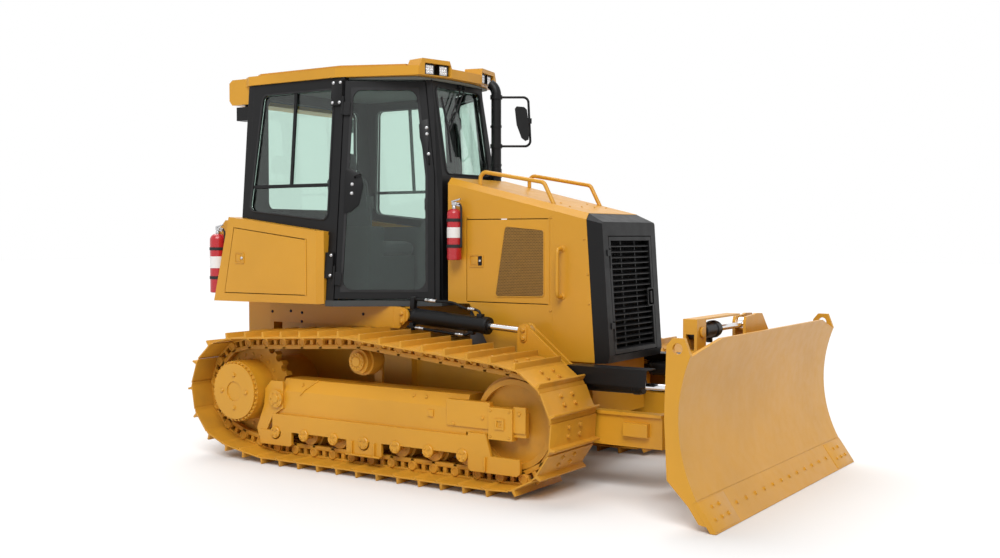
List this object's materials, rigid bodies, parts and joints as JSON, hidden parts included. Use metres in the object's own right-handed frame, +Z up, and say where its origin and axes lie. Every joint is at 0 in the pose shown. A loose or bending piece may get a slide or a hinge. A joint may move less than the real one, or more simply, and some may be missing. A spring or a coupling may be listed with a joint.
{
  "type": "crawler bulldozer",
  "caption": "Crawler bulldozer with a closed cab, steel tracks and a front blade that lifts, angles and tilts on hydraulic cylinders.",
  "frame": {"origin": "on the ground, under the middle of the whole machine", "axes": "+X forward towards the blade, +Y to the machine's left, +Z up"},
  "size_m": [4.348, 2.43, 2.812],
  "materials": {
    "paint_yellow": "satin yellow paint",
    "paint_black": "satin black paint",
    "rod_chrome": "polished chrome",
    "glass_tint": "green tinted glass",
    "paint_red": "gloss red paint",
    "engine_metal": "cast metal",
    "seat_cover": "black woven cover"
  },
  "bodies": {
    "machine": {"main_frame": "paint_yellow", "final_drives": "paint_yellow", "track_right": "paint_yellow", "track_left": "paint_yellow", "sprockets": "paint_yellow", "idlers": "paint_yellow", "track_rollers": "paint_yellow", "roller_frames": "paint_yellow", "engine_block": "engine_metal", "hood": "paint_yellow", "radiator_guard": "paint_yellow", "grille_surround": "paint_black", "radiator_core": "engine_metal", "cab_floor": "paint_black", "cab_sides": "paint_black", "cab_front": "paint_black", "cab_rear": "paint_black", "cab_roof": "paint_yellow", "windscreen": "glass_tint", "side_windows": "glass_tint", "rear_window": "glass_tint", "seat_base": "paint_black", "seat_cushion": "seat_cover", "seat_back": "seat_cover", "controls": "paint_black", "exhaust_stack": "paint_black", "handrails": "paint_yellow", "door_mirror": "paint_black", "work_lamps": "paint_black", "extinguishers": "paint_red", "side_boxes": "paint_yellow", "rear_tank": "paint_yellow"},
    "lift_frame": {"c_frame": "paint_yellow", "angle_barrel_right": "paint_black", "angle_barrel_left": "paint_black", "cylinder_guards": "paint_black"},
    "carrier": {"blade_carrier": "paint_yellow"},
    "blade_body": {"blade": "paint_yellow", "cutting_edge": "paint_yellow"},
    "lift_barrel_right": {"lift_barrel_right": "paint_black"},
    "lift_barrel_left": {"lift_barrel_left": "paint_black"},
    "lift_rod_right": {"lift_rod_right": "rod_chrome"},
    "lift_rod_left": {"lift_rod_left": "rod_chrome"},
    "angle_rod_right": {"angle_rod_right": "rod_chrome"},
    "angle_rod_left": {"angle_rod_left": "rod_chrome"},
    "tilt_barrel": {"tilt_barrel": "paint_black"},
    "tilt_rod": {"tilt_rod": "rod_chrome"},
    "cab_door_right": {"cab_door_right": "paint_black", "door_glass_right": "glass_tint"},
    "cab_door_left": {"cab_door_left": "paint_black", "door_glass_left": "glass_tint"},
    "engine_door_right": {"engine_door_right": "paint_yellow"},
    "engine_door_left": {"engine_door_left": "paint_yellow"},
    "box_door_right": {"box_door_right": "paint_yellow"},
    "box_door_left": {"box_door_left": "paint_yellow"},
    "grille_door": {"grille_door": "paint_black"}
  },
  "joints": [
    {"name": "blade_lift", "type": "hinge", "parent": "machine", "child": "lift_frame", "pos_m": [-0.6, 0, 0.43], "axis": [0, 1, 0], "range_deg": [-16, 11]},
    {"name": "blade_angle", "type": "hinge", "parent": "lift_frame", "child": "carrier", "pos_m": [1.62, 0, 0.4], "axis": [0, 0, 1], "range_deg": [-25, 25]},
    {"name": "blade_tilt", "type": "hinge", "parent": "carrier", "child": "blade_body", "pos_m": [1.85, 0, 0.375], "axis": [1, 0, 0], "range_deg": [-7, 7]},
    {"name": "lift_barrel_right_swing", "type": "hinge", "parent": "machine", "child": "lift_barrel_right", "pos_m": [-0.44, -0.515, 1.03], "axis": [0, 1, 0], "range_deg": [-18.9, 13.2]},
    {"name": "lift_rod_right_slide", "type": "slide", "parent": "lift_barrel_right", "child": "lift_rod_right", "axis": [0.9977, 0, -0.0681], "range_m": [-0.168, 0.116]},
    {"name": "angle_rod_right_slide", "type": "slide", "parent": "lift_frame", "child": "angle_rod_right", "axis": [0.9986, 0.0526, 0], "range_m": [-0.1955, 0.1955]},
    {"name": "lift_barrel_left_swing", "type": "hinge", "parent": "machine", "child": "lift_barrel_left", "pos_m": [-0.44, 0.515, 1.03], "axis": [0, 1, 0], "range_deg": [-18.9, 13.2]},
    {"name": "lift_rod_left_slide", "type": "slide", "parent": "lift_barrel_left", "child": "lift_rod_left", "axis": [0.9977, 0, -0.0681], "range_m": [-0.168, 0.116]},
    {"name": "angle_rod_left_slide", "type": "slide", "parent": "lift_frame", "child": "angle_rod_left", "axis": [0.9986, -0.0526, 0], "range_m": [-0.1955, 0.1955]},
    {"name": "tilt_barrel_swing", "type": "hinge", "parent": "blade_body", "child": "tilt_barrel", "pos_m": [1.89, -0.87, 1.04], "axis": [1, 0, 0], "range_deg": [-1.6, 1.6]},
    {"name": "tilt_rod_slide", "type": "slide", "parent": "tilt_barrel", "child": "tilt_rod", "axis": [0, 1, 0], "range_m": [-0.0815, 0.0815]},
    {"name": "cab_door_right_swing", "type": "hinge", "parent": "machine", "child": "cab_door_right", "pos_m": [-0.854, -0.81295, 1.13109], "axis": [0, -0.0837, -0.9965], "range_deg": [0, 95]},
    {"name": "engine_door_right_swing", "type": "hinge", "parent": "machine", "child": "engine_door_right", "pos_m": [0.636, -0.374, 1.4], "axis": [0, 0, 1], "range_deg": [0, 100]},
    {"name": "box_door_right_swing", "type": "hinge", "parent": "machine", "child": "box_door_right", "pos_m": [-1.071, -0.848, 1.35], "axis": [0, 0, 1], "range_deg": [0, 90]},
    {"name": "cab_door_left_swing", "type": "hinge", "parent": "machine", "child": "cab_door_left", "pos_m": [-0.854, 0.81295, 1.13109], "axis": [0, -0.0837, 0.9965], "range_deg": [0, 95]},
    {"name": "engine_door_left_swing", "type": "hinge", "parent": "machine", "child": "engine_door_left", "pos_m": [0.636, 0.374, 1.4], "axis": [0, 0, -1], "range_deg": [0, 100]},
    {"name": "box_door_left_swing", "type": "hinge", "parent": "machine", "child": "box_door_left", "pos_m": [-1.071, 0.848, 1.35], "axis": [0, 0, -1], "range_deg": [0, 90]},
    {"name": "grille_door_swing", "type": "hinge", "parent": "machine", "child": "grille_door", "pos_m": [1.08752, -0.296, 0.81356], "axis": [0.0698, 0, -0.9976], "range_deg": [0, 100]}
  ],
  "couplings": [
    {"joint": "lift_barrel_right_swing", "follows": "blade_lift", "ratio": 1.15},
    {"joint": "lift_rod_right_slide", "follows": "blade_lift", "m_per_rad": 0.597},
    {"joint": "angle_rod_right_slide", "follows": "blade_angle", "m_per_rad": 0.445},
    {"joint": "lift_barrel_left_swing", "follows": "blade_lift", "ratio": 1.15},
    {"joint": "lift_rod_left_slide", "follows": "blade_lift", "m_per_rad": 0.597},
    {"joint": "angle_rod_left_slide", "follows": "blade_angle", "m_per_rad": -0.445},
    {"joint": "tilt_barrel_swing", "follows": "blade_tilt", "ratio": 0.2164},
    {"joint": "tilt_rod_slide", "follows": "blade_tilt", "m_per_rad": 0.662}
  ]
}
